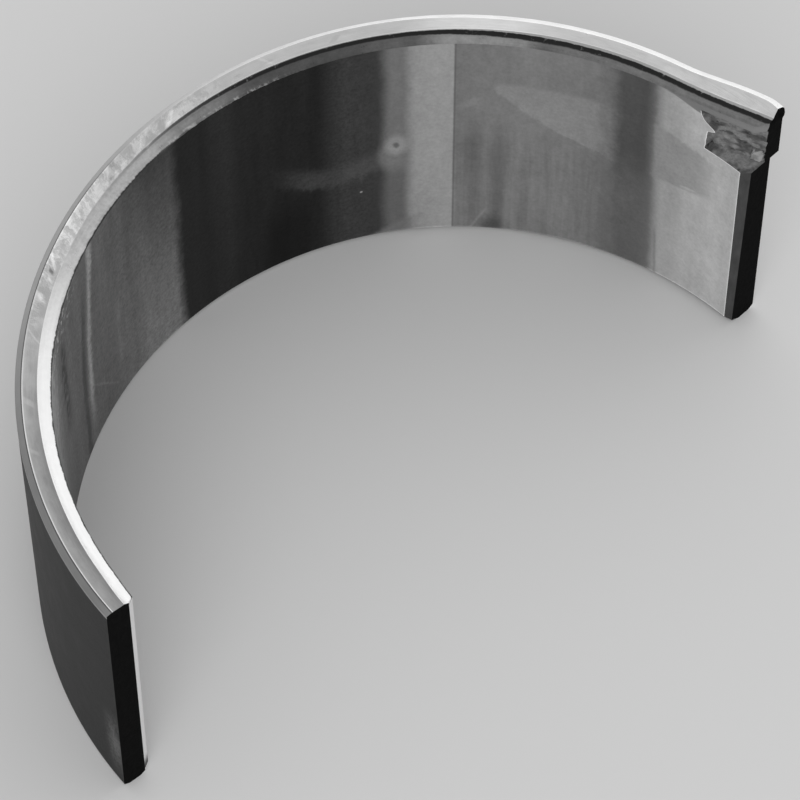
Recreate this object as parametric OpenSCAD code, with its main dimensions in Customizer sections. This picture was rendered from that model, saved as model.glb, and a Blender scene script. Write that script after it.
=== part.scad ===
// Half shell of a plain engine bearing: a lined steel strip rolled to a half circle,
// with chamfered edges and a locating tang pressed out of one corner.
// Z is the bore axis, the crown is towards +Y and the tang end towards +X.
// The origin is on the bore axis, at the middle of the width.

/* [Strip] */
// Bore of the housing that the shell fills as a half circle when it is clamped
housing_d = 60; // [44:0.5:90]
// How much wider the free shell springs open than the housing
free_spread = 1.6; // [0.2:0.1:2.4]
// Wall, steel back and lining together
wall = 2.5; // [2:0.1:3.5]
// Width along the bore axis
width = 24; // [16:0.5:40]

/* [Edges] */
// Bore chamfer at the end faces, measured along the radius
bore_chamfer_r = 1.05; // [0.4:0.05:1.2]
// Bore chamfer at the end faces, measured along the axis
bore_chamfer_z = 0.5; // [0.3:0.05:0.8]
// Back chamfer at the end faces, measured along the radius
back_chamfer_r = 0.45; // [0.2:0.05:0.6]
// Back chamfer at the end faces, measured along the axis
back_chamfer_z = 0.3; // [0.2:0.05:0.6]
// Bore chamfer at the parting faces, measured along the radius
parting_chamfer_r = 0.4; // [0.2:0.05:0.6]
// Bore chamfer at the parting faces, measured along the bore
parting_chamfer_arc = 0.56; // [0.2:0.02:0.8]

/* [Locating tang] */
// Width of the tang, from the upper end face down to the sheared ledge
tang_w = 4.9; // [3.5:0.1:7]
// Length of the tang from the parting face to its bend, along the back
tang_len = 7; // [5:0.1:7.5]
// How far the tang stands proud of the back at the parting face
tang_height = 1.3; // [1.1:0.05:1.6]

/* [Punched recess] */
// Longest reach of the recess from the parting face
recess_len = 4.6; // [3.5:0.1:6]
// Smooth band of wall left between the recess and the upper end face
recess_band = 1.05; // [0.9:0.05:1.5]
// How much lower than the ledge the punch bites
recess_drop = 0.15; // [0.05:0.05:0.4]
// Wall left behind the recess at the parting face
recess_wall = 1.8; // [1.4:0.1:2]
// Slope of the recess floor up towards the bore, in degrees
recess_slope = 18; // [14:1:20]

/* [Hidden] */
$fn = 180;

// Radii of the free shell, and the angle from +X at which each parting face lies
free_r = (housing_d + free_spread) / 2;
bore_r = free_r - wall;
parting_a = 90 - 90 * housing_d / (2 * free_r);

// Heights of the end faces and of the sheared ledge under the tang
top_z = width / 2;
ledge_z = top_z - tang_w;

// The tang is a straight stretch of the strip. It leaves the back at its bend and stands
// tang_height proud at the parting face, which sets how far it turns.
tang_a = tang_len / free_r * 180 / PI;
bend_turn = atan((cos(tang_a) - free_r / (free_r + tang_height)) / sin(tang_a));
tang_face_a = parting_a + tang_a + bend_turn;
tang_sink = free_r * (1 - cos(bend_turn));

// The torn edge of the recess: how far each point falls short of recess_len, and its share
// of the recess height from the ledge up
torn_edge = [[0.75, 0], [0.67, 0.44], [1.3, 0.54], [0.3, 0.73], [0, 1]];
recess_h = tang_w + recess_drop - recess_band;
recess_r = free_r + tang_height - recess_wall;

// Tools and blanks reach this far past what they make
reach = 2 * wall;

// How far the press moves the edges of the end face's chamfers along the tang
press_shift = 0.06;

// Slopes of the chamfers at the upper end face, carried on past it by a number of their own lengths
function back_edge(times) = [free_r - (1 + times) * back_chamfer_r, top_z + times * back_chamfer_z];
function bore_edge(times) = [bore_r + (1 + times) * bore_chamfer_r, top_z + times * bore_chamfer_z];

// Section of the blank: the back of the strip, left thick on the bore side
blank_section = [
    [bore_r - reach, -top_z],
    [free_r - back_chamfer_r, -top_z],
    [free_r, -top_z + back_chamfer_z],
    [free_r, top_z - back_chamfer_z],
    back_edge(1),
    [bore_r - reach, back_edge(1)[1]]
];

// Section of the bore, opening into a chamfer at each end face
bore_section = [
    [bore_r - 2 * reach, -bore_edge(1)[1]],
    [bore_edge(1)[0], -bore_edge(1)[1]],
    [bore_r, -top_z + bore_chamfer_z],
    [bore_r, top_z - bore_chamfer_z],
    bore_edge(1),
    [bore_r - 2 * reach, bore_edge(1)[1]]
];

// Section of the tang's back, cut off square at the ledge and left thick on the bore side
tang_section = [
    [bore_r - reach / 2, ledge_z],
    [free_r, ledge_z],
    [free_r, top_z - back_chamfer_z - press_shift],
    back_edge(2),
    [bore_r - reach / 2, back_edge(2)[1]]
];

// Section of the hollow that is pressed into the bore in front of the tang
hollow_section = [
    [bore_r - reach, ledge_z],
    [bore_r, ledge_z],
    [bore_r, top_z - bore_chamfer_z + press_shift],
    bore_edge(1),
    [bore_r - reach, bore_edge(1)[1]]
];

// Sweeps a section round the bore axis, past both parting faces
module rolled(section) {
    rotate(-parting_a)
        rotate_extrude(angle = 180 + 2 * parting_a)
            polygon(section);
}

// Sweeps a section straight along the tang, from beside its bend to past the parting face
module straight(section) {
    rotate(tang_face_a)
        translate([-tang_sink, 0, 0])
            rotate([90, 0, 0])
                linear_extrude(2 * tang_len)
                    polygon(section);
}

// Everything above the upper end face
module past_end_face() {
    translate([-2 * free_r, -free_r, top_z])
        cube([4 * free_r, 3 * free_r, reach]);
}

// Everything past the parting face at the +X end
module past_parting() {
    rotate(parting_a)
        translate([bore_r - 2 * reach, -free_r, -width])
            cube([4 * reach, free_r, 2 * width]);
}

// Corner of the bore that is chamfered off along the parting face at the +X end
module parting_corner() {
    rotate(parting_a)
        translate([bore_r + parting_chamfer_r, 0, 0])
            rotate(atan2(parting_chamfer_arc, -parting_chamfer_r))
                translate([-reach, 0, -width])
                    cube([2 * reach, reach, 2 * width]);
}

// What the punch takes out behind the tang: a sloping floor within a torn outline
module punched_recess() {
    outline = concat(
        [[-reach, 0]],
        [for (p = torn_edge) [recess_len - p[0], p[1] * recess_h]],
        [[-reach, recess_h]]
    );
    rotate(parting_a)
        translate([recess_r, 0, top_z - recess_band - recess_h])
            rotate([90, 0, 90 + recess_slope])
                translate([0, 0, -reach])
                    linear_extrude(reach)
                        polygon(outline);
}

// The rolled strip with the back of its tang, still without the hollow
module bored_strip() {
    difference() {
        union() {
            rolled(blank_section);
            straight(tang_section);
        }
        past_end_face();
        rolled(bore_section);
    }
}

// The shell in one piece
module bearing_shell() {
    color("dimgray")
        difference() {
            bored_strip();
            straight(hollow_section);
            punched_recess();
            for (end = [0, 1])
                mirror([end, 0, 0]) {
                    past_parting();
                    parting_corner();
                }
        }
}

bearing_shell();
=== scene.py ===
# Half shell of an engine bearing: the lined and chamfered strip with its pressed tang, in a plain studio.

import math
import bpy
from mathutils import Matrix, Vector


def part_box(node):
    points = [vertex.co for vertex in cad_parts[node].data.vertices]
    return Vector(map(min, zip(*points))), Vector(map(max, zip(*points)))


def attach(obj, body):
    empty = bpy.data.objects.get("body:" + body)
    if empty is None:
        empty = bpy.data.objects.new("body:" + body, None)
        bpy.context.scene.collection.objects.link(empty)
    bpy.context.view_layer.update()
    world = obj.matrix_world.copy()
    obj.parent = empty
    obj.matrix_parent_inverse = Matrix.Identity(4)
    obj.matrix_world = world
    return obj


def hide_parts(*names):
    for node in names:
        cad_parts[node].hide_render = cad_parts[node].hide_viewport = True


bl_info = {
    "name": "Engine bearing shell",
    "version": (1, 0, 0),
    "blender": (4, 5, 0),
    "location": "View3D > Sidebar > Bearing shell",
    "description": "Builds the worn half shell of a plain bearing over its CAD frame, and a studio for it",
    "category": "Object",
}

import bmesh
import bpy
from bpy.props import FloatProperty, FloatVectorProperty, PointerProperty
from bpy.types import Operator, Panel, PropertyGroup
from mathutils import Matrix, Vector, noise

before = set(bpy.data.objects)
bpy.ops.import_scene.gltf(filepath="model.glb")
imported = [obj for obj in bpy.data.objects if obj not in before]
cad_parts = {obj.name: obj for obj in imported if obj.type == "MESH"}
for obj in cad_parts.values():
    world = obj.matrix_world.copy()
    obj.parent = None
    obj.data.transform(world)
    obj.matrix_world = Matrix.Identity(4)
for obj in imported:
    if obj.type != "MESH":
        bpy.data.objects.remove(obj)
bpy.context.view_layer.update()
SHELL_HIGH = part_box("bearing_shell")[1]
MM = 0.001

# The upper edges of the wall in section, in millimetres: how far each point lies from the bore or
# the back, and how far below the end face. The bore's chamfer has a steeper facet beside the end face.
BORE_EDGE = (
    (0, 0.58), (0, 0.53), (0.03, 0.5), (0.17, 0.43), (0.32, 0.36), (0.47, 0.29),
    (0.6, 0.225), (0.7, 0.165), (0.8, 0.1), (0.89, 0.035), (0.95, 0),
)
BACK_EDGE = (
    (0, 0.56), (0, 0.42), (0.005, 0.34), (0.03, 0.3), (0.08, 0.255), (0.15, 0.21),
    (0.23, 0.16), (0.3, 0.11), (0.36, 0.07), (0.42, 0.03), (0.48, 0),
)
# Rows of an edge, counted from the end face: the foot of its chamfer and the lining's first row,
# the rows to each side of that one which its ragged line moves, and the rows that dents lower
CHAMFER_ROWS = len(BORE_EDGE) - 3
LINING_ROW = CHAMFER_ROWS + 1
WANDER_ROWS = 3
DENT_ROWS = 4
# Torn edge of the recess: height above its foot as a share of its own height, and reach as a share
# of the longest
TORN_EDGE = (
    (0, 0.84), (0.43, 0.855), (0.485, 0.72), (0.55, 0.75), (0.64, 0.84), (0.75, 0.93), (0.87, 0.98),
    (1, 1),
)
# The sweep's step that becomes the torn edge
TORN_STEP = 41
# Dents in the rim: angle in degrees, radius, size along the rim, size across it, depth, in millimetres
RIM_DENTS = (
    (122.6, 29.75, 0.28, 0.16, 0.07), (121.2, 29.55, 0.3, 0.1, 0.05), (118.2, 29.7, 0.5, 0.2, 0.035),
    (133.2, 29.9, 0.22, 0.6, 0.03), (126.5, 29.9, 0.35, 0.25, 0.03), (146, 29.8, 0.3, 0.3, 0.02),
    (81.4, 29.6, 0.25, 0.12, 0.04), (76, 29.65, 0.3, 0.14, 0.04), (64.5, 29.9, 0.5, 0.4, 0.02),
    (31, 30.3, 0.3, 0.15, 0.06), (157, 29.7, 0.6, 0.3, 0.02),
)
# Scratches across the rim: angle in degrees, lean in degrees per millimetre, half width in degrees,
# radii from and to, and change of tone
RIM_SCRATCHES = (
    (133.1, 2.3, 0.12, 29.2, 30.2, 0.3), (122.5, 1.4, 0.3, 29.55, 29.95, -0.55),
    (121.3, 3, 0.35, 29.5, 30.2, 0.35), (123.6, 2, 0.2, 29.4, 29.8, 0.3),
    (76.4, -1.6, 0.25, 29.4, 30.3, 0.14), (87.6, -1.2, 0.3, 29.3, 29.9, 0.12),
    (92.6, 2.4, 0.5, 29.3, 30.2, 0.22), (97.8, 2.4, 0.6, 29.3, 30.1, 0.2),
    (104.6, 2.6, 0.7, 29.4, 30.3, -0.22), (66.2, 2, 0.5, 29.5, 30, -0.12),
    (143.6, 1.4, 0.5, 29.5, 30.2, 0.22), (151.5, 1.5, 0.3, 29.7, 30.2, 0.2),
    (127.2, 2.2, 0.3, 29.4, 30.2, 0.2), (112.3, 2.4, 0.4, 29.3, 30.2, -0.16),
    (31.2, 0.4, 0.12, 30.1, 30.4, -0.3),
)
# Radius at which a leaning scratch has its stated angle, in millimetres
RIM_MIDDLE = 29.8
# Steps across the wall, and the stretches that the section is swept over: their share of the sweep
# in degrees (the middle one takes the rest) and their steps
COLUMNS = 12
TANG_SWEEP = (15.2, 76)
MIDDLE_STEPS = 316
PLAIN_SWEEP = (2.2, 11)
# How softly the tang leaves the round wall and the lip's swell meets the CAD box, in millimetres
BEND_SOFT = 0.03
BOX_SOFT = 0.08
# Half height of the sheared step under the tang, in millimetres
LEDGE_HALF = 0.02
# Share of the bore chamfer that the lining covers, and how much wider the back's chamfer gets
LINING_LIFT = 0.14
BACK_WIDER = 0.11
# What is left of the back's chamfer at the plain parting face, and how far from there it is whole again
TAPER_LEFT = 0.4
TAPER_REACH = 1.5
# Rounding of the lip's outer corner: its turn at the parting face and its reach, in degrees
CORNER_TURN = 0.65
CORNER_REACH = 3
# How far the rim's inner edge moves out with the lip at the parting face, in millimetres
LIP_INNER = 0.18
# How much the tang end's parting chamfer grows with each millimetre of height
CHAMFER_GROWTH = 0.018
# Crumb in the recess: place along the bore and above the ledge, half sizes and height, in millimetres
CRUMB = (0.42, 0.75, 0.42, 0.5, 0.45)
# Where the crumb is painted: angle and height, and half sizes, in degrees and millimetres
CRUMB_PAINT = (3.2, 7.85, 0.8, 0.48)
# Angle between faces from which their edge is sharp, in degrees
SHARP_ANGLE = 28
# Studio, in metres: the floor's disc, the soft light, the way to the bright side of the room with the
# span over which it brightens, the share of that span's curve, and the camera
FLOOR_RADIUS = 3
FLOOR_SIDES = 96
FLOOR_ROUGHNESS = 0.9
FLOOR_SPECULAR = 0.1
KEY_SIZE = 1.6
KEY_PLACE = (-0.85, -0.95, 1.35)
BRIGHT_WAY = (0.7, 0.6, 0.35)
BRIGHT_SPAN = (0.1, 0.95)
BRIGHT_CURVE = 0.4
SENSOR_WIDTH = 36  # in millimetres
CLIP_START = 0.01


class ShellSizes(PropertyGroup):
    """Sizes of the shell"""

    back_radius: FloatProperty(
        name="Back radius", description="Radius of the free shell's back", default=0.0308, unit="LENGTH")
    wall: FloatProperty(
        name="Wall", description="Steel back and lining together", default=0.0025, unit="LENGTH")
    half_width: FloatProperty(
        name="Half width", description="From the middle to an end face", default=SHELL_HIGH.z, unit="LENGTH")
    parting_angle: FloatProperty(
        name="Parting angle", description="How far each parting face lies above the X axis",
        default=math.radians(2.3377), subtype="ANGLE")
    chamfer_rise: FloatProperty(
        name="Parting chamfer", description="Bore chamfer at the parting faces, along the radius",
        default=0.0004, unit="LENGTH")
    chamfer_arc: FloatProperty(
        name="Parting chamfer arc", description="Bore chamfer at the parting faces, along the bore",
        default=0.00056, unit="LENGTH")
    plain_rise: FloatProperty(
        name="Plain end's chamfer",
        description="The same at the end without the tang, where it is worn steep",
        default=0.00055, unit="LENGTH")
    plain_arc: FloatProperty(
        name="Plain end's chamfer arc", description="The plain end's chamfer along the bore",
        default=0.00035, unit="LENGTH")
    plain_relief: FloatProperty(
        name="Plain end's relief", description="How much thinner the wall is at the plain parting face",
        default=0.0001, unit="LENGTH")
    tang_width: FloatProperty(
        name="Tang width", description="From the upper end face to the ledge", default=0.0049, unit="LENGTH")
    tang_length: FloatProperty(
        name="Tang length", description="From the parting face to the bend", default=0.007, unit="LENGTH")
    tang_height: FloatProperty(
        name="Tang height", description="How far the rim stands proud at the parting face",
        default=0.0013, unit="LENGTH")
    lip_flare: FloatProperty(
        name="Lip flare", description="How much further out the rim's lip stands than the tang's face",
        default=0.00042, unit="LENGTH")
    lip_swell: FloatProperty(
        name="Lip swell",
        description="How much the rim's lip swells out between the bend and the parting face",
        default=0.00042, unit="LENGTH")
    recess_length: FloatProperty(
        name="Recess length", description="Longest reach of the punched recess",
        default=0.0046, unit="LENGTH")
    recess_band: FloatProperty(
        name="Recess band", description="Smooth wall between the recess and the end face",
        default=0.00105, unit="LENGTH")
    recess_wall: FloatProperty(
        name="Recess wall", description="Wall left behind the recess at the parting face",
        default=0.0019, unit="LENGTH")
    recess_slope: FloatProperty(
        name="Recess slope", description="Slope of the recess floor",
        default=math.radians(18), subtype="ANGLE")


class ShellFinish(PropertyGroup):
    """Tones of the shell's surfaces"""

    edge: FloatProperty(name="End face", description="Turned steel of the end faces", default=0.46)
    # The chamfers' painted reflection where it is brightest
    chamfer: FloatProperty(name="Chamfers", description="Brightest steel of the chamfers", default=0.97)
    lining: FloatProperty(name="Lining", description="Grey of the bearing lining", default=0.135)
    # Tone of the lining's painted dark reflection in its middle
    lining_dark_reflection: FloatProperty(name="Dark lining", description="Dark bands of the lining", default=0.017)
    # Tone of the lining's palest painted reflection, at the tang's end
    lining_pale_reflection: FloatProperty(name="Pale lining", description="Worn lining beside the tang", default=0.55)
    # Tone of the lining's painted bright reflection over the tang's half
    lining_bright_reflection: FloatProperty(name="Worn lining", description="Lining of the tang's half", default=0.24)
    back: FloatProperty(name="Back", description="Rolled steel of the back", default=0.03)
    sheared: FloatProperty(
        name="Parting face", description="Blackened steel of the parting faces", default=0.005)
    torn: FloatProperty(name="Torn metal", description="Metal torn by the punch", default=0.18)


class StudioLook(PropertyGroup):
    """Floor, light and camera"""

    floor: FloatVectorProperty(
        name="Floor", description="Colour of the floor", default=(0.66, 0.66, 0.66), subtype="COLOR")
    key_power: FloatProperty(
        name="Key power", description="Power of the soft light behind the camera", default=14, unit="POWER")
    glow: FloatProperty(name="Glow", description="Light of the bright side of the room", default=1.2)
    shade: FloatProperty(name="Shade", description="Light of the dim side of the room", default=0.5)
    azimuth: FloatProperty(
        name="Azimuth", description="Camera's turn about the bore axis",
        default=math.radians(-41.713), subtype="ANGLE")
    elevation: FloatProperty(
        name="Elevation", description="Camera's height angle", default=math.radians(57.296), subtype="ANGLE")
    roll: FloatProperty(
        name="Roll", description="Camera's roll", default=math.radians(0.122), subtype="ANGLE")
    distance: FloatProperty(
        name="Distance", description="From the camera to the shell", default=0.32869, unit="LENGTH")
    across: FloatProperty(
        name="Across", description="Camera's offset to its right", default=-0.004417, unit="LENGTH")
    upward: FloatProperty(
        name="Upward", description="Camera's offset upwards", default=0.010871, unit="LENGTH")
    lens: FloatProperty(name="Lens", description="Focal length of the camera", default=202.9, unit="CAMERA")


def ease(low, high, value):
    """Smooth step from 0 at low to 1 at high."""
    t = min(max((value - low) / (high - low), 0), 1)
    return t * t * (3 - 2 * t)


def soft_past(value, soft):
    """The value where it is well above 0, eased to 0 below."""
    return 0.5 * (value + math.hypot(value, soft))


def bumps(*spot):
    """Noise of about -1 to 1 at a place."""
    return noise.noise(Vector(spot))


class ShellForm:
    """The shell's shape as rules, in millimetres and degrees."""

    def __init__(self, sizes):
        self.back = sizes.back_radius / MM
        self.bore = self.back - sizes.wall / MM
        self.top = sizes.half_width / MM
        self.start = math.degrees(sizes.parting_angle)
        self.chamfer_rise = sizes.chamfer_rise / MM
        self.chamfer_arc = sizes.chamfer_arc / MM
        self.plain_rise = sizes.plain_rise / MM
        self.plain_arc = sizes.plain_arc / MM
        self.plain_relief = sizes.plain_relief / MM
        self.ledge = self.top - sizes.tang_width / MM
        self.height = sizes.tang_height / MM
        self.flare = sizes.lip_flare / MM
        self.swell = sizes.lip_swell / MM
        self.far_side = SHELL_HIGH.x / MM
        run = sizes.tang_length / sizes.back_radius
        turn = math.atan((math.cos(run) - self.back / (self.back + self.height)) / math.sin(run))
        self.tang_face = self.start + math.degrees(run + turn)
        self.sink = self.back * (1 - math.cos(turn))
        self.recess_top = self.top - sizes.recess_band / MM
        self.recess_length = sizes.recess_length / MM
        self.recess_floor = self.back + self.height - sizes.recess_wall / MM
        self.recess_fall = math.tan(sizes.recess_slope)

    def rows(self):
        """Points of the bore side and of the back side, from the lower end face to the upper one."""
        upper = [((self.bore + b[0], self.top - b[1]), (self.back - k[0], self.top - k[1]))
                 for b, k in zip(BORE_EDGE, BACK_EDGE)]
        lower = [tuple((r, -z) for r, z in pair) for pair in reversed(upper)]
        heights = []
        z = lower[-1][0][1]
        # Where each stretch between the edges ends, and its steps
        for stop, steps in (
                (self.ledge - 0.5, 20), (self.ledge - LEDGE_HALF, 4), (self.ledge + LEDGE_HALF, 1),
                (self.recess_top - 0.05, 32), (self.recess_top, 1), (upper[0][0][1], 4)):
            heights += [z + (stop - z) * (k + 1) / steps for k in range(steps)]
            z = stop
        middle = [((self.bore, z), (self.back, z)) for z in heights[:-1]]
        return lower + middle + upper

    def tang_shift(self, radius, angle):
        """How far the straight tang lies outside of a ring of that radius, eased at the bend."""
        if angle > self.tang_face:
            return 0
        gap = (radius - self.sink) / math.cos(math.radians(self.tang_face - angle)) - radius
        return soft_past(gap, BEND_SOFT)

    def lip_swell(self, angle):
        """Swell of the rim's lip between the bend and the parting face, kept inside of the CAD box."""
        swell = self.swell * (1 - ease(4, 15, angle - self.start))
        reach = self.far_side / math.cos(math.radians(angle))
        room = reach - self.back - self.tang_shift(self.back, angle)
        return swell - soft_past(swell - room, BOX_SOFT)

    def edge_lift(self, angle):
        """Share of the bore chamfer that the lining covers, which grows towards the plain end."""
        return LINING_LIFT * ease(78, 98, angle)

    def back_drop(self, angle):
        """How much wider the back's chamfer is towards the tang."""
        return BACK_WIDER * (1 - ease(34, 62, angle))

    def corner_taper(self, angle):
        """Share that is left of the back's chamfer towards the plain parting face."""
        return TAPER_LEFT + (1 - TAPER_LEFT) * ease(0, TAPER_REACH, self.arcs(angle)[1])

    def arcs(self, angle):
        """Distances along the bore from the tang's parting face and from the plain one."""
        return (math.radians(angle - self.start) * self.bore,
                math.radians(180 - self.start - angle) * self.bore)

    def torn_reach(self, z):
        """How far the recess reaches from the parting face at a height."""
        foot = self.ledge + LEDGE_HALF
        share = min(max((z - foot) / (self.recess_top - foot), 0), 1)
        below = max(p for p in TORN_EDGE if p[0] <= share)
        above = min(p for p in TORN_EDGE if p[0] >= share)
        t = 0 if above[0] == below[0] else (share - below[0]) / (above[0] - below[0])
        reach = self.recess_length * (below[1] + (above[1] - below[1]) * t)
        return reach + 0.05 * bumps(z * 3.1, 7.3, 0) + 0.03 * bumps(z * 9, 2.3, 0)

    def torn_pull(self, angle, z):
        """How far the bore's points move along it, so that one line of them lies on the torn edge."""
        edge = TORN_STEP * TANG_SWEEP[0] / TANG_SWEEP[1]
        along = angle - self.start
        pull = along / edge if along < edge else max(0, 1 - (along - edge) / (TANG_SWEEP[0] - edge))
        pull *= ease(self.ledge - 0.6, self.ledge, z) * (1 - ease(self.recess_top, self.recess_top + 0.5, z))
        return pull * (math.degrees(self.torn_reach(z) / self.bore) - edge)

    def corner_pull(self, angle, z):
        """How far the points of the lip's outer corner stay behind the parting face, in degrees."""
        left = max(0, 1 - (angle - self.start) / CORNER_REACH)
        return CORNER_TURN * left * ease(self.top - 0.7, self.top - 0.2, z)

    def in_recess(self, angle, z):
        """True for points of the recess floor, inside of the line that becomes the torn edge."""
        edge = (TORN_STEP - 0.5) * TANG_SWEEP[0] / TANG_SWEEP[1]
        return angle - self.start < edge and self.ledge < z < self.recess_top - 0.01

    def bore_at(self, base, z, angle, punched):
        """Radius of the bore side, from the plain section's radius."""
        arc, far = self.arcs(angle)
        rise = (self.chamfer_rise + CHAMFER_GROWTH * z) * (1 - arc / self.chamfer_arc)
        rise = max(rise, self.plain_rise * (1 - far / self.plain_arc), 0)
        radius = max(base, self.bore + rise) + self.plain_relief * (1 - ease(0, 3, far))
        if z > self.ledge:
            radius += self.tang_shift(base, angle) * ease(self.ledge, self.ledge + 1.8, z)
            lip = LIP_INNER * (1 - ease(0, 9, angle - self.start))
            radius += lip * ease(self.top - 1.1, self.top - 0.6, z)
        if punched:
            floor = self.recess_floor - arc * self.recess_fall
            floor += 0.16 * bumps(arc * 1.7, z * 2.2, 3) + 0.07 * bumps(arc * 5, z * 6, 5)
            place, up, half_arc, half_up, height = CRUMB
            crumb = max(abs(arc - place) / half_arc, abs(z - self.ledge - up) / half_up)
            floor -= height * (1 - ease(0.7, 1.1, crumb + 0.25 * bumps(arc * 5, z * 5, 1)))
            radius = max(floor, radius + 0.12)
        return radius

    def back_at(self, base, z, angle):
        """Radius of the back, from the plain section's radius."""
        if z < self.ledge or angle > self.tang_face:
            return base
        lip = ease(self.top - 1, self.top - 0.3, z)
        shift = self.tang_shift(base, angle) * (1 - self.flare / self.height * (1 - lip))
        return base + shift + lip * self.lip_swell(angle)

    def rim_drop(self, radius, angle):
        """How far dents and tool chatter lower the upper end face."""
        drop = 0
        for a, r, along, across, depth in RIM_DENTS:
            away = math.hypot(math.radians(angle - a) * radius / along, (radius - r) / across)
            if away < 1.6:
                drop += depth * (1 - ease(0.3, 1.2, away + 0.3 * bumps(angle, radius * 3, 2)))
        chatter = ease(84, 96, angle) * (1 - ease(128, 140, angle))
        drop += 0.02 * chatter * (0.5 + bumps(angle * 1.7, radius * 0.5, 9))
        return max(drop, 0)

    def edge_wander(self, angle):
        """How far the ragged edge between lining and chamfer strays from its line."""
        ragged = ease(60, 78, angle) * (1 - ease(94, 106, angle))
        wild = bumps(angle * 1.3, 0, 4) + 0.6 * bumps(angle * 4.1, 0, 6)
        return 0.025 * bumps(angle * 0.8, 1, 8) + 0.1 * ragged * wild


class Shade:
    """A socket of a node tree that Python arithmetic adds Math nodes to."""

    def __init__(self, tree, socket=None):
        self.tree = tree
        self.socket = socket

    def node(self, kind, settings=None, values=None, out=0):
        """Adds a node, sets it up, fills or links its sockets and gives one of its outputs."""
        made = self.tree.nodes.new(kind)
        for name, value in (settings or {}).items():
            setattr(made, name, value)
        for key, value in (values or {}).items():
            if isinstance(value, Shade):
                self.tree.links.new(value.socket, made.inputs[key])
            else:
                made.inputs[key].default_value = value
        return Shade(self.tree, made.outputs[out])

    def math(self, operation, *values):
        """A Math node over these values."""
        return self.node("ShaderNodeMath", {"operation": operation}, dict(enumerate(values)))

    def __add__(self, other):
        return self.math("ADD", self, other)

    def __sub__(self, other):
        return self.math("SUBTRACT", self, other)

    def __mul__(self, other):
        return self.math("MULTIPLY", self, other)

    def __truediv__(self, other):
        return self.math("DIVIDE", self, other)

    def __radd__(self, other):
        return self.math("ADD", other, self)

    def __rsub__(self, other):
        return self.math("SUBTRACT", other, self)

    def __rmul__(self, other):
        return self.math("MULTIPLY", other, self)

    def __rtruediv__(self, other):
        return self.math("DIVIDE", other, self)

    def ramp(self, low, high):
        """Smooth step from 0 at low to 1 at high, falling where low is the larger."""
        if low > high:
            return 1 - self.ramp(high, low)
        return self.node("ShaderNodeMapRange", {"interpolation_type": "SMOOTHSTEP"},
                         {"Value": self, "From Min": low, "From Max": high})

    def band(self, low, high, soft):
        """1 between low and high, with soft ends."""
        return self.ramp(low - soft, low + soft) * self.ramp(high + soft, high - soft)

    def toward(self, other, mask):
        """This value where the mask is 0, and the other where it is 1."""
        return self + (other - self) * mask


class Surface:
    """A new material, with the angle, height and radius that its patterns are drawn in, in degrees and mm."""

    def __init__(self, name):
        self.material = bpy.data.materials.new(name)
        self.material.use_nodes = True
        tree = self.material.node_tree
        self.shader = tree.nodes["Principled BSDF"]
        self.kit = Shade(tree)
        spot = self.kit.node("ShaderNodeTexCoord", out="Object")
        spot = self.kit.node("ShaderNodeVectorMath", {"operation": "SCALE"}, {0: spot, "Scale": 1 / MM})
        x, y, self.height = (self.kit.node("ShaderNodeSeparateXYZ", None, {0: spot}, k) for k in range(3))
        self.angle = self.kit.math("ARCTAN2", y, x) * math.degrees(1)
        self.radius = self.kit.math("SQRT", x * x + y * y)

    def grain(self, along, up, out, detail=3, rough=0.55, shift=0.0):
        """Noise of about -1 to 1 on the unrolled strip, by its features per millimetre along, up and out."""
        spot = self.kit.node("ShaderNodeCombineXYZ", None, {
            0: self.angle * (along * math.radians(30)) + shift, 1: self.height * up, 2: self.radius * out})
        return self.noise(spot, detail, rough)

    def noise(self, spot, detail, rough):
        """Noise of about -1 to 1 at a place of its own."""
        made = self.kit.node("ShaderNodeTexNoise", None, {
            "Vector": spot, "Scale": 1, "Detail": detail, "Roughness": rough})
        return (made - 0.5) * 4

    def mark(self, name):
        """A float that the mesh carries at its points."""
        return self.kit.node("ShaderNodeAttribute", {"attribute_name": name}, None, "Fac")

    def far(self, *parts):
        """Distance from 0 of a point with these parts."""
        return self.kit.math("SQRT", sum(p * p for p in parts))

    def finish(self, tone, roughness, relief, depth, metallic=0.0, specular=0.5):
        """Links the tone, the roughness and the relief to the shader and gives the material."""
        inputs = self.shader.inputs
        inputs["Metallic"].default_value = metallic
        inputs["Specular IOR Level"].default_value = specular
        bump = self.kit.node(
            "ShaderNodeBump", None, {"Height": relief, "Strength": 1, "Distance": depth * MM})
        for name, value in (("Base Color", tone), ("Roughness", roughness), ("Normal", bump)):
            self.kit.tree.links.new(value.socket, inputs[name])
        return self.material


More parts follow.
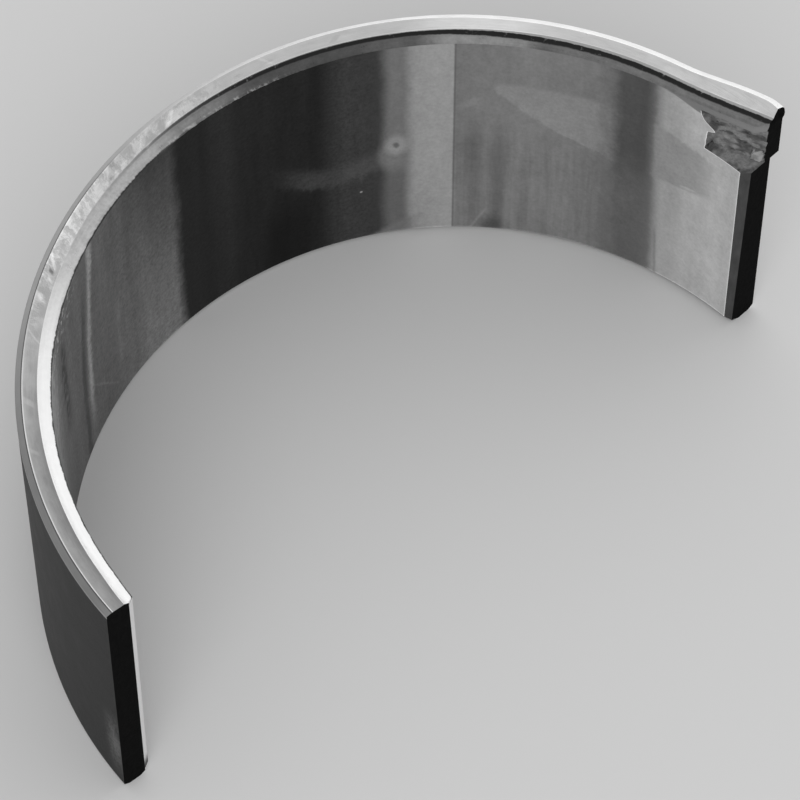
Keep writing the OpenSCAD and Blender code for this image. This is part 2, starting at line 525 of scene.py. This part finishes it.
def end_face(look):
    """Turned steel of the end faces: tool chatter over one stretch, scratches, painted reflection and painted
    highlights along the edges.
    """
    s = Surface("end_face")
    a, share = s.angle, s.mark("across_wall")
    turned = s.grain(0.1, 0, 14, 4, 0.65)
    wear = s.grain(0.5, 0, 1.4, 4, 0.6)
    slant = a + s.radius * 0.9 + 0.4 * wear
    cut = a.band(84, 132, 9)
    strokes = s.noise(s.kit.node("ShaderNodeCombineXYZ", None, {0: slant * 0.45, 1: s.radius * 0.6}), 4, 0.7)
    strokes = strokes.ramp(-0.4, 0.4) * cut
    tone = look.edge * (1 + 0.08 * turned + 0.12 * wear * (1 + a.ramp(112, 140) + 0.7 * a.ramp(30, 16)))
    # Painted reflection: darker towards the plain end, lighter over two stretches and towards the tang
    tone = tone * (1 - 0.34 * a.ramp(124, 158))
    tone = tone * (1 + 0.3 * a.band(108, 121, 7) + 0.24 * a.band(38, 53, 6))
    tone = tone * (1 + 0.36 * (strokes - 0.5) * cut * (1 + 0.7 * wear)) * (1 + 0.1 * a.ramp(62, 50))
    # Painted reflection: lighter towards the outer edge and darker towards the inner edge at the plain end
    tone = tone * (1 + (share - 0.5) * a.ramp(125, 160) * 0.5)
    # Painted highlights along the inner edge towards the tang and along the outer edge towards the plain end
    tone = tone * (1 + 0.18 * share.ramp(0.1, 0.02) * a.ramp(112, 96))
    tone = tone * (1 + 0.2 * share.ramp(0.86, 0.95) * a.ramp(92, 116))
    tone = tone.toward(0.8, share.ramp(0.91, 0.97) * a.ramp(128, 150))
    for place, lean, width, inner, outer, change in RIM_SCRATCHES:
        line = (a - place + (s.radius - RIM_MIDDLE) * lean + 0.12 * wear).band(-width, width, 0.2)
        tone = tone * (1 + change * line * (s.radius + 0.05 * wear).band(inner, outer, 0.12))
    roughness = 0.38 + 0.07 * wear + 0.04 * turned
    return s.finish(tone, roughness, strokes * 1.2 + turned * 0.2 + wear * 0.4, 0.02, 1.0)


def bore_chamfer(look):
    """Chamfer between lining and end face: painted reflection, bright at the plain end, dim towards the tang,
    dark on its steeper facet.
    """
    s = Surface("bore_chamfer")
    a = s.angle
    turned = s.grain(0.1, 12, 0, 4, 0.65)
    wear = s.grain(1.1, 1.4, 1.4, 4, 0.65)
    fine = s.grain(4, 4, 4, 2)
    up = s.mark("up_edge") + 0.035 * wear + 0.02 * fine
    # Painted reflection: the chamfer's tone brightens and dims round the bore
    dim_reflection = (0.3 + 0.22 * a.ramp(91, 99)).toward(0.13, a.ramp(87, 79)).toward(0.18, a.ramp(67, 59))
    dim_reflection = dim_reflection.toward(0.43, a.band(38, 53, 2.5)).toward(0.27, a.ramp(37, 33))
    dim_reflection = dim_reflection * (1 + 0.16 * wear + 0.1 * turned + 0.1 * fine)
    tone = (look.chamfer * 0.86 * (1 + 0.04 * turned)).toward(dim_reflection, a.ramp(140, 112))
    # Painted highlight along the chamfer's foot, made ragged by the noise
    tone = tone.toward(0.6, up.ramp(0.16, 0.05) * a.band(76, 130, 5) * (wear + fine).ramp(-0.2, 0.9) * 0.8)
    tone = tone.toward(0.06, up.ramp(-0.03, -0.09) * a.ramp(84, 100))
    # Painted dark reflection on the chamfer's steeper facet towards the tang: its bounds and its mask
    low = 0.375 + 0.2 * a.ramp(36, 58) + 0.1 * a.ramp(68, 95)
    high = 0.74 + 0.17 * a.ramp(30, 55)
    dark_facet_reflection = (up - low).ramp(-0.05, 0.05) * (high - up).ramp(-0.03, 0.03) * a.ramp(112, 80)
    tone = tone.toward(0.04 + 0.12 * (fine + wear).ramp(0.7, 1.3), dark_facet_reflection)
    # Painted reflection: lighter above the steeper facet towards the tang
    tone = tone.toward(look.edge * 1.3, (up - high).ramp(-0.03, 0.03) * a.ramp(90, 46))
    roughness = 0.32 + 0.06 * wear + 0.04 * turned + 0.2 * dark_facet_reflection
    return s.finish(tone, roughness, turned * 0.2 + wear * 0.5, 0.015, 1.0)


def back_chamfer(look):
    """Chamfer between end face and back: painted reflection, dim at the plain end, bright from the crown to
    the tang.
    """
    s = Surface("back_chamfer")
    a = s.angle
    turned = s.grain(0.1, 12, 0, 4, 0.65)
    wear = s.grain(0.9, 1.2, 1.2, 4, 0.6)
    up = s.mark("up_edge") + 0.02 * wear
    # Painted reflection: dim at the plain end, bright from the crown to the tang
    tone = (0.22 + 0.12 * a.ramp(156, 118)).toward(look.chamfer, a.ramp(112, 52))
    tone = tone * (1 + 0.05 * turned + 0.07 * wear)
    # Painted shadow line beside the end face, towards the plain end
    tone = tone.toward(0.08, up.ramp(0.78, 0.9) * a.ramp(96, 112))
    tone = tone.toward(0.32, up.ramp(0.14, 0.04) * a.ramp(120, 150) * 0.7)
    return s.finish(tone, 0.4 + 0.07 * wear, turned * 0.2 + wear * 0.5, 0.015, 0.3)


def bearing_lining(look):
    """Dark overlay of the bore: upright bands and streaks of painted reflection, and the stains and marks of
    its wear.
    """
    s = Surface("bearing_lining")
    a, z = s.angle, s.height
    # Upright streaks of painted reflection
    streak = s.grain(0.42, 0.025, 0, 4, 0.62)
    mottle = s.grain(1.3, 0.9, 0, 4, 0.65, 40)
    cloud = s.grain(0.3, 0.22, 0, 3, 0.6, 70)
    fine = s.grain(3.6, 3.2, 0, 3, 0.65, 90)
    wander = a + 0.45 * cloud + 0.25 * mottle

    # Grey half beside the plain end: a leaning streak, dark marks, and flecks under the rim
    tone = look.lining * (1 + 0.22 * streak) * (1 - 0.05 * z * a.ramp(114, 100))
    lean = wander - 3 * z.ramp(11, -4)
    tone = tone.toward(look.lining * 2.6, lean.band(116, 117.2, 0.7) * z.ramp(-11, -3))
    mark = lean.band(118.2, 119.8, 0.6) * z.ramp(10, 4) * cloud.ramp(-0.9, 0.1)
    tone = tone.toward(look.lining * 0.5, mark)
    mark = wander.band(128.6, 131.4, 1) * z.band(-1.5, 9, 2) * mottle.ramp(-0.7, 0.3)
    tone = tone.toward(look.lining * 0.35, mark)
    tone = tone.toward(look.lining * 1.45, wander.band(109.4, 110.6, 0.9) * z.band(-8.5, 0.5, 2) * 0.7)
    flecks = s.grain(1, 1.2, 0, 4, 0.7, 20) * a.ramp(114, 138) * z.ramp(-6, 5)
    tone = tone * (1 + 0.5 * flecks) * (1 + (0.6 + 0.6 * z.ramp(2, 7)) * a.ramp(131, 138))
    scratch = (a - 118.8 - (z + 4.7) * 1.56 + 0.2 * mottle).band(-0.15, 0.15, 0.3)
    scratch = scratch * z.band(-9.5, -4.7, 0.5)
    tone = tone * (1 + 0.4 * scratch)

    # Dark middle of painted dark reflection, with the smear that ends in a ring
    # Painted dark reflection, with its streaks
    dark = look.lining_dark_reflection * (1 + 0.4 * streak + 0.4 * a.band(84.5, 88.5, 1))
    dark = dark * (1 - 0.45 * a.band(71, 79, 1.5) * z.ramp(-2, -7))
    tone = tone.toward(dark, wander.ramp(96.6, 93.8))
    tone = tone.toward(0.05 * (1 + 0.15 * streak), wander.ramp(70.5, 65.5))
    off = z + 3 - (a - 67) * (a - 67) * 0.0245 + 0.35 * mottle
    smear = off.ramp(-1.6, -0.3) * off.ramp(2.1, 0.3) * a.band(60, 75, 4)
    tone = tone.toward(0.065 + 0.03 * a.ramp(69, 62), smear * 0.8)

    # Painted reflection towards the tang: a bright band, a lighter patch over the streaks, a glint, a dark
    # band and a pale end
    # Painted bright reflection over the tang's half, with its streaks
    worn = look.lining_bright_reflection * (1 + 0.12 * streak) * (1 + 0.3 * streak * z.ramp(1.5, -1.5))
    zone = look.lining_bright_reflection * 0.82 * (1 - 0.25 * z.ramp(-2.5, -4.5))
    tone = tone.toward(zone, wander.ramp(61, 58.6))
    tone = tone.toward(look.lining_bright_reflection * (1.5 + 0.1 * a.ramp(56, 51)), (a + 0.5 * cloud).ramp(57.2, 54.8))
    worn = worn * (1 - 0.28 * (a.band(45, 47.2, 1) + a.band(41.6, 43.4, 1)) * z.ramp(4, -1))
    worn = worn * (1 - 0.16 * a.band(38.2, 39.4, 0.7) * z.ramp(2, -2))
    tone = tone.toward(worn * 0.98, a.ramp(49.6, 49.2)) * (1 - 0.3 * a.band(49.15, 49.4, 0.12))
    spread = z + 0.2 * mottle + 0.15 * cloud
    past = s.kit.math("MAXIMUM", a - 27, 0.0)
    lighter_patch = (spread - past * (0.15 + 0.012 * past)).ramp(-0.1, 0.6) * spread.ramp(7.1, 6.4)
    lighter_patch = lighter_patch * (a + (spread - 5.9) * (spread - 5.9) * 0.6).ramp(44.2, 42.8)
    tone = tone.toward(look.lining_bright_reflection * 1.28, lighter_patch * 0.85)
    glint = s.far((a - 46.8) * 0.3, z - 4.4 + (a - 46.8) * 0.3)
    tone = tone.toward(look.lining_bright_reflection * 1.25, glint.ramp(0.7, 0.2) * 0.5)
    tilt = a - 0.03 * z + 0.35 * mottle + 0.25 * streak
    tone = tone.toward(0.165, tilt.band(18, 27.4, 1.4) * (0.55 + 0.35 * z.ramp(2, -2)))
    deep = (0.095 + 0.05 * z.ramp(3, -4)) * (1 + 0.12 * streak)
    tone = tone.toward(deep, tilt.ramp(17.6, 20.2) * tilt.ramp(26.6, 23.4))
    # Painted pale reflection at the tang's end
    pale = look.lining_pale_reflection * (1 + 0.12 * streak)
    tone = tone.toward(pale * 0.76, tilt.ramp(19, 16.6)).toward(pale, tilt.ramp(16, 11))
    lighter_wedge = (spread + (18 - a) * 0.11).ramp(7, 6.5) * (spread - (18 - a) * 0.12).ramp(-0.1, 0.6)
    lighter_wedge = lighter_wedge * a.ramp(6.5, 12) * tilt.ramp(19, 17.6)
    tone = tone.toward(look.lining_bright_reflection * 1.3, lighter_wedge * 0.75)
    dash = s.far((a - 12.4) * 0.27, (z - 1.1) * 3 + (a - 12.4) * 0.3)
    tone = tone.toward(look.lining_pale_reflection * 1.1, dash.ramp(0.5, 0.2) * 0.45)
    tone = tone.toward(0.22, dash.band(0.75, 0.9, 0.15) * z.ramp(1.1, 0.7) * 0.5)
    seep = (a - 17.2 - (z + 8) * 0.1 + 0.1 * mottle).band(-0.2, 0.2, 0.25) * z.ramp(-5, -7)
    tone = tone.toward(0.2, seep * 0.6)

    # Spots and marks, and a lighter band near the lower end face
    spot = s.far((a - 58) * 0.5 + 0.12 * mottle, (z + 0.4) * 0.68 + 0.1 * mottle)
    tail = s.far((a - 59.2) * 0.55 + 0.15 * mottle, (z + 1.6) * 0.6 + 0.15 * cloud)
    tone = tone.toward(0.22, tail.ramp(1.3, 0.4) * 0.65)
    tone = tone.toward(0.36, spot.ramp(1.2, 0.4) * 0.75).toward(0.15, spot.ramp(0.3, 0.1))
    tone = tone.toward(0.3, s.far((a - 63.4) * 0.5, z + 5.6).ramp(0.14, 0.08))
    tone = tone.toward(0.2, (z + 0.2 * mottle + (a - 57) * 0.3).ramp(-9.7, -10.5) * a.band(55, 63, 2) * 0.7)
    tone = tone.toward(0.08, s.far((a - 43.2) * 0.36, (z + 11.7 + 0.4 * mottle) * 0.4).ramp(1.1, 0.2) * 0.85)
    nick = (a - 45.6 + (z + 10.5) * 0.9 + 0.1 * mottle).band(-0.15, 0.15, 0.3) * z.ramp(-8.6, -9.4)
    tone = tone.toward(look.lining_bright_reflection * 1.35, nick * 0.6)
    grey = a.ramp(58, 66)
    tone = tone * (1 + (0.1 + 0.1 * grey) * mottle + (0.1 + 0.2 * grey) * fine + 0.08 * cloud)

    # Edges: flakes under the rim, the grey strip over the recess, a painted highlight line and dark lines
    flakes = s.grain(1.4, 2, 0, 3, 0.6, 60).ramp(0.2, 0.5) * a.band(124, 150, 4) * z.ramp(8, 10.6)
    tone = tone.toward(0.5, flakes)
    strip = z - 0.9 * a.ramp(10.5, 17)
    beside = a.ramp(18, 16.5)
    tone = tone.toward(0.25, strip.ramp(10.38, 10.5) * beside)
    tone = tone.toward(0.23, strip.ramp(10.5, 10.62) * beside)
    # Painted highlight line where the lining ends at the recess
    tone = tone.toward(0.95, s.mark("painted_edge_highlight").ramp(0.05, 0.6) * 0.85)
    tone = tone.toward(0.05, z.ramp(11.38, 11.46) * a.ramp(98, 106))
    tone = tone * (1 + 0.3 * z.ramp(-11.25, -11.4))
    roughness = 0.46 + 0.05 * mottle + 0.04 * streak
    return s.finish(tone, roughness, mottle * 0.3 + fine * 0.2 + flakes * 3, 0.008, 0.0, 0.06)


def rolled_back(look):
    """Dark rolled steel of the back, mottled by handling."""
    s = Surface("rolled_back")
    mottle = s.grain(0.5, 0.35, 0, 5, 0.62)
    fine = s.grain(5, 4, 0, 3, 0.6)
    rolled = s.grain(0.06, 5, 0, 3, 0.6, 15)
    patch = s.angle.band(175, 178, 1.2) * s.height.band(-9.5, -3.5, 2)
    tone = look.back * (1 + 0.38 * mottle + 0.2 * fine + 0.12 * rolled)
    tone = tone.toward(0.13, patch * (mottle + 0.6 * fine).ramp(-0.8, 0.6))
    tone = tone.toward(0.1, s.kit.math("ABSOLUTE", s.height).ramp(11.2, 11.65) * (mottle + fine).ramp(0, 0.9))
    return s.finish(tone, 0.55 + 0.08 * mottle, mottle * 0.5 + fine * 0.3, 0.015, 0.0, 0.08)


def sheared_face(look):
    """Blackened parting faces, with a thin bright edge under the rim at the plain end."""
    s = Surface("sheared_face")
    grain = s.grain(3, 1.2, 3, 4)
    tone = look.sheared * (1 + 0.4 * grain)
    tone = tone.toward(0.4, s.mark("up_edge").ramp(0.72, 0.92) * s.angle.ramp(60, 120) * s.height.ramp(0, 4))
    return s.finish(tone, 0.65 + 0.06 * grain, grain, 0.015, 0.0, 0.01)


def parting_chamfer(look):
    """Narrow chamfers of the bore at the parting faces: painted reflection, dim beside the tang, bright at
    the plain end.
    """
    s = Surface("parting_chamfer")
    grain = s.grain(2, 0.6, 2, 4)
    tone = look.back * 2 * (1 + 0.35 * grain)
    # Painted reflection: bright at the plain end
    tone = tone.toward(0.75, s.angle.ramp(60, 120) * s.height.ramp(-11.2, -9.8))
    return s.finish(tone, 0.55 + 0.08 * grain, grain, 0.015, 0.0, 0.15)


def torn_metal(look):
    """Rough floor of the punched recess, with a pale crumb of metal left in it."""
    s = Surface("torn_metal")
    mottle = s.grain(1.8, 2.1, 1.6, 4, 0.65)
    patch = s.grain(0.8, 1.1, 0.8, 2, 0.5, 25)
    tone = look.torn * (0.6 + 0.75 * patch.ramp(-0.35, 0.35)) * (1 + 0.4 * mottle)
    tone = tone.toward(0.04, (mottle - 0.5 * patch).ramp(0.45, 0.9) * 0.85)
    angle, height, half_angle, half_up = CRUMB_PAINT
    parts = ((s.angle - angle) / half_angle, (s.height - height) / half_up)
    crumb = s.kit.math("MAXIMUM", *(s.kit.math("ABSOLUTE", part) for part in parts)) + 0.12 * mottle
    tone = tone.toward(0.05, crumb.ramp(1.35, 1.15) * 0.6)
    tone = tone.toward(0.36 - 0.1 * crumb.ramp(0.6, 0.3), crumb.ramp(1.05, 0.9))
    return s.finish(tone, 0.55 + 0.1 * mottle, mottle + patch, 0.05, 0.0, 0.15)


MAKERS = (
    end_face, bore_chamfer, back_chamfer, bearing_lining, rolled_back, sheared_face,
    parting_chamfer, torn_metal,
)
FINISHES = tuple(make.__name__ for make in MAKERS)


class BEARING_OT_shell(Operator):
    """Build the worn shell over its CAD node"""

    bl_idname = "bearing.shell"
    bl_label = "Bearing shell"

    def execute(self, context):
        form = ShellForm(context.scene.bearing_sizes)
        look = context.scene.bearing_finish
        mesh = self.sweep(form)
        mesh.set_sharp_from_angle(angle=math.radians(SHARP_ANGLE))
        for make in MAKERS:
            mesh.materials.append(make(look))
        shell = bpy.data.objects.new("shell", mesh)
        context.scene.collection.objects.link(shell)
        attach(shell, "root")
        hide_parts("bearing_shell")
        return {"FINISHED"}

    def sweep(self, form):
        """Sweeps the wall's section round the bore and shapes it by the form's rules."""
        rows = form.rows()
        bm = bmesh.new()
        row_of = bm.verts.layers.int.new("row")
        column_of = bm.verts.layers.int.new("column")
        punched_of = bm.verts.layers.int.new("punched")
        across_of = bm.verts.layers.float.new("across_wall")
        up_of = bm.verts.layers.float.new("up_edge")
        bmesh.ops.create_grid(bm, x_segments=COLUMNS, y_segments=len(rows) - 1, size=0.5)
        start = math.radians(form.start)
        for v in bm.verts:
            v[column_of] = round((v.co.x + 0.5) * COLUMNS)
            v[row_of] = round((v.co.y + 0.5) * (len(rows) - 1))
            (bore, low), (back, high) = rows[v[row_of]]
            share = v[column_of] / COLUMNS
            radius = bore + (back - bore) * share
            v.co = Vector((radius * math.cos(start), radius * math.sin(start), low + (high - low) * share))
        rest = 180 - 2 * form.start - TANG_SWEEP[0] - PLAIN_SWEEP[0]
        geom = bm.verts[:] + bm.edges[:] + bm.faces[:]
        for turn, steps in (TANG_SWEEP, (rest, MIDDLE_STEPS), PLAIN_SWEEP):
            geom = bmesh.ops.spin(bm, geom=geom, cent=(0, 0, 0), axis=(0, 0, 1),
                                  angle=math.radians(turn), steps=steps)["geom_last"]
        for v in bm.verts:
            row = v[row_of]
            (bore, low), (back, high) = rows[row]
            share = v[column_of] / COLUMNS
            angle = math.degrees(math.atan2(v.co.y, v.co.x))
            into = min(row, len(rows) - 1 - row)
            v[across_of] = share
            v[up_of] = max(-1, 1 - into / CHAMFER_ROWS)
            punched = form.in_recess(angle, low)
            if angle < form.start + TANG_SWEEP[0] and low > 0:
                angle += form.torn_pull(angle, low) * (1 - share) + form.corner_pull(angle, high) * share
            if low > 0 and into <= CHAMFER_ROWS:
                lift = form.edge_lift(angle)
                bore += (form.bore + BORE_EDGE[-1][0] - bore) * lift
                low += (form.top - low) * lift
                back -= form.back_drop(angle) * (1 - into / CHAMFER_ROWS)
                high = form.top - (form.top - high) * form.corner_taper(angle)
            inner = form.bore_at(bore, low, angle, punched)
            outer = form.back_at(back, high, angle)
            radius = inner + (outer - inner) * share
            z = low + (high - low) * share
            if row > len(rows) / 2 and into < LINING_ROW + WANDER_ROWS:
                near_edge = max(0, 1 - abs(into - LINING_ROW) / WANDER_ROWS)
                z += (1 - share) * near_edge * form.edge_wander(angle)
                if into < DENT_ROWS:
                    z -= form.rim_drop(radius, angle) * (1 - into / DENT_ROWS)
            turn = math.radians(angle)
            v.co = Vector((radius * math.cos(turn), radius * math.sin(turn), z)) * MM
            v[punched_of] = punched
        self.paint(bm, form, len(rows) - 1)
        self.mark_edge_highlight(bm, form)
        bmesh.ops.recalc_face_normals(bm, faces=bm.faces[:])
        if any(not e.is_manifold for e in bm.edges):
            raise RuntimeError("the shell's mesh is not closed")
        mesh = bpy.data.meshes.new("shell")
        bm.to_mesh(mesh)
        bm.free()
        return mesh

    def paint(self, bm, form, last):
        """Gives each face its finish, by where it lies on the section."""
        row_of, column_of, punched_of = (bm.verts.layers.int[n] for n in ("row", "column", "punched"))
        for f in bm.faces:
            f.smooth = True
            columns = {v[column_of] for v in f.verts}
            levels = {v[row_of] for v in f.verts}
            edge = max(levels) <= LINING_ROW or min(levels) >= last - LINING_ROW
            if columns == {0}:
                finish = "bore_chamfer" if edge else "bearing_lining"
                middle = f.calc_center_median()
                arcs = form.arcs(math.degrees(math.atan2(middle.y, middle.x)))
                at_tang = arcs[0] < form.chamfer_arc and middle.z < form.ledge * MM
                if any(v[punched_of] for v in f.verts):
                    finish = "torn_metal"
                elif not edge and (at_tang or arcs[1] < form.plain_arc):
                    finish = "parting_chamfer"
            elif columns == {COLUMNS}:
                finish = "back_chamfer" if edge else "rolled_back"
            elif levels in ({0}, {last}):
                finish = "end_face"
            else:
                finish = "sheared_face"
            f.material_index = FINISHES.index(finish)

    def mark_edge_highlight(self, bm, form):
        """Marks the points where the lining ends at the recess and at the chamfer beside it, for a painted
        highlight line.
        """
        painted_edge_highlight = bm.verts.layers.float.new("painted_edge_highlight")
        ends = {FINISHES.index(name) for name in ("torn_metal", "parting_chamfer")}
        lining = FINISHES.index("bearing_lining")
        limit = (form.recess_top - 0.1) * MM
        for v in bm.verts:
            met = {f.material_index for f in v.link_faces}
            v[painted_edge_highlight] = v.co.x > 0 and v.co.z < limit and lining in met and bool(ends & met)


class BEARING_OT_studio(Operator):
    """Lay the floor, light the shell and place the camera"""

    bl_idname = "bearing.studio"
    bl_label = "Studio"

    def execute(self, context):
        look = context.scene.bearing_studio
        self.lay_floor(context, look)
        self.light(context, look)
        self.place_camera(context, look)
        context.scene.view_settings.view_transform = "Standard"
        return {"FINISHED"}

    def lay_floor(self, context, look):
        """Lays a wide disc under the shell."""
        bm = bmesh.new()
        bmesh.ops.create_circle(bm, cap_ends=True, segments=FLOOR_SIDES, radius=FLOOR_RADIUS)
        bmesh.ops.translate(bm, verts=bm.verts, vec=(0, 0, -context.scene.bearing_sizes.half_width))
        mesh = bpy.data.meshes.new("floor")
        bm.to_mesh(mesh)
        bm.free()
        material = bpy.data.materials.new("floor")
        material.use_nodes = True
        shader = material.node_tree.nodes["Principled BSDF"].inputs
        shader["Base Color"].default_value = (*look.floor, 1)
        shader["Roughness"].default_value = FLOOR_ROUGHNESS
        shader["Specular IOR Level"].default_value = FLOOR_SPECULAR
        mesh.materials.append(material)
        floor = bpy.data.objects.new("floor", mesh)
        context.scene.collection.objects.link(floor)

    def light(self, context, look):
        """Hangs the soft light and makes one side of the room bright."""
        lamp = bpy.data.lights.new("key", "AREA")
        lamp.shape = "DISK"
        lamp.size = KEY_SIZE
        lamp.energy = look.key_power
        key = bpy.data.objects.new("key", lamp)
        key.location = KEY_PLACE
        key.rotation_euler = (-key.location).to_track_quat("-Z", "Y").to_euler()
        key.visible_glossy = False
        context.scene.collection.objects.link(key)
        world = bpy.data.worlds.new("studio")
        world.use_nodes = True
        kit = Shade(world.node_tree)
        way = kit.node("ShaderNodeTexCoord", out="Generated")
        side = kit.node(
            "ShaderNodeVectorMath", {"operation": "DOT_PRODUCT"}, {0: way, 1: BRIGHT_WAY}, "Value")
        bright = side.ramp(*BRIGHT_SPAN)
        share = bright * bright * BRIGHT_CURVE + bright * (1 - BRIGHT_CURVE)
        strength = look.shade + (look.glow - look.shade) * share
        background = world.node_tree.nodes["Background"]
        background.inputs["Color"].default_value = (1, 1, 1, 1)
        world.node_tree.links.new(strength.socket, background.inputs["Strength"])
        context.scene.world = world

    def place_camera(self, context, look):
        """Places the camera by its angles, its distance and its offsets from the shell's foot."""
        flat = math.cos(look.elevation)
        back = Vector((
            math.sin(look.azimuth) * flat, -math.cos(look.azimuth) * flat, math.sin(look.elevation)))
        right = Vector((0, 0, 1)).cross(back).normalized()
        turn = Matrix.Rotation(look.roll, 3, back)
        right = turn @ right
        upward = back.cross(right)
        lens = bpy.data.cameras.new("camera")
        lens.lens = look.lens
        lens.sensor_width = SENSOR_WIDTH
        lens.clip_start = CLIP_START
        camera = bpy.data.objects.new("camera", lens)
        floor = Vector((0, 0, -context.scene.bearing_sizes.half_width))
        place = floor + back * look.distance + right * look.across + upward * look.upward
        axes = Matrix((right, upward, back)).transposed()
        camera.matrix_world = Matrix.Translation(place) @ axes.to_4x4()
        context.scene.collection.objects.link(camera)
        context.scene.camera = camera


class BEARING_PT_panel(Panel):
    """Sizes, finishes and studio of the bearing shell"""

    bl_idname = "BEARING_PT_panel"
    bl_label = "Bearing shell"
    bl_space_type = "VIEW_3D"
    bl_region_type = "UI"
    bl_category = "Bearing shell"

    def draw(self, context):
        for group in ("bearing_sizes", "bearing_finish", "bearing_studio"):
            box = self.layout.box()
            settings = getattr(context.scene, group)
            for name in settings.__annotations__:
                box.prop(settings, name)
        self.layout.operator(BEARING_OT_shell.bl_idname)
        self.layout.operator(BEARING_OT_studio.bl_idname)


CLASSES = (ShellSizes, ShellFinish, StudioLook, BEARING_OT_shell, BEARING_OT_studio, BEARING_PT_panel)


def register():
    for cls in CLASSES:
        bpy.utils.register_class(cls)
    bpy.types.Scene.bearing_sizes = PointerProperty(type=ShellSizes)
    bpy.types.Scene.bearing_finish = PointerProperty(type=ShellFinish)
    bpy.types.Scene.bearing_studio = PointerProperty(type=StudioLook)


def unregister():
    del bpy.types.Scene.bearing_studio
    del bpy.types.Scene.bearing_finish
    del bpy.types.Scene.bearing_sizes
    for cls in reversed(CLASSES):
        bpy.utils.unregister_class(cls)


def main():
    """Builds the studio and the shell."""
    register()
    bpy.ops.bearing.studio()
    bpy.ops.bearing.shell()


if __name__ == "__main__":
    main()
